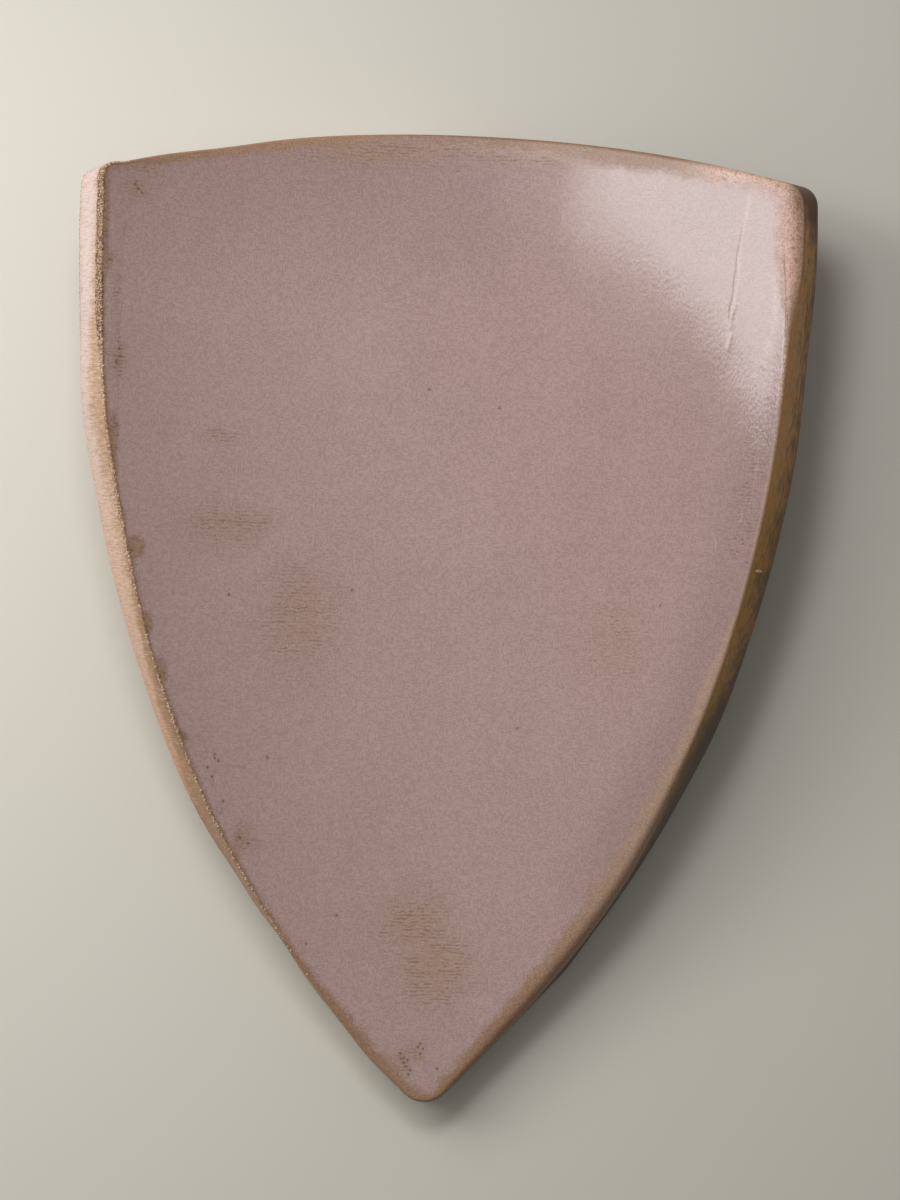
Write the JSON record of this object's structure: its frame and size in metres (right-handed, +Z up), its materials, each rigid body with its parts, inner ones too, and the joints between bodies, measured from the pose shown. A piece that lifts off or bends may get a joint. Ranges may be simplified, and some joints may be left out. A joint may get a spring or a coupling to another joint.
{
  "type": "kite shield",
  "caption": "Padded kite shield with an arched top edge, rounded corners and a pointed foot, bent into a shallow trough that lies hollow side up.",
  "frame": {"origin": "under the middle of the shield, on the surface that it lies on: the middle of the overall box in X and Y, and its lowest level in Z", "axes": "+Z up out of the hollow side, +Y along the shield toward its arched top edge with the tip at -Y, X across the shield"},
  "size_m": [0.5576, 0.75, 0.125],
  "materials": {
    "latex_skin": "satin latex skin with a thin mauve-brown coat on the face, ochre-brown where the coat ends at the rim, fine linen-like grain, a few darker smudges and pinholes"
  },
  "bodies": {
    "root": {"kite_shield": "latex_skin"}
  },
  "joints": []
}
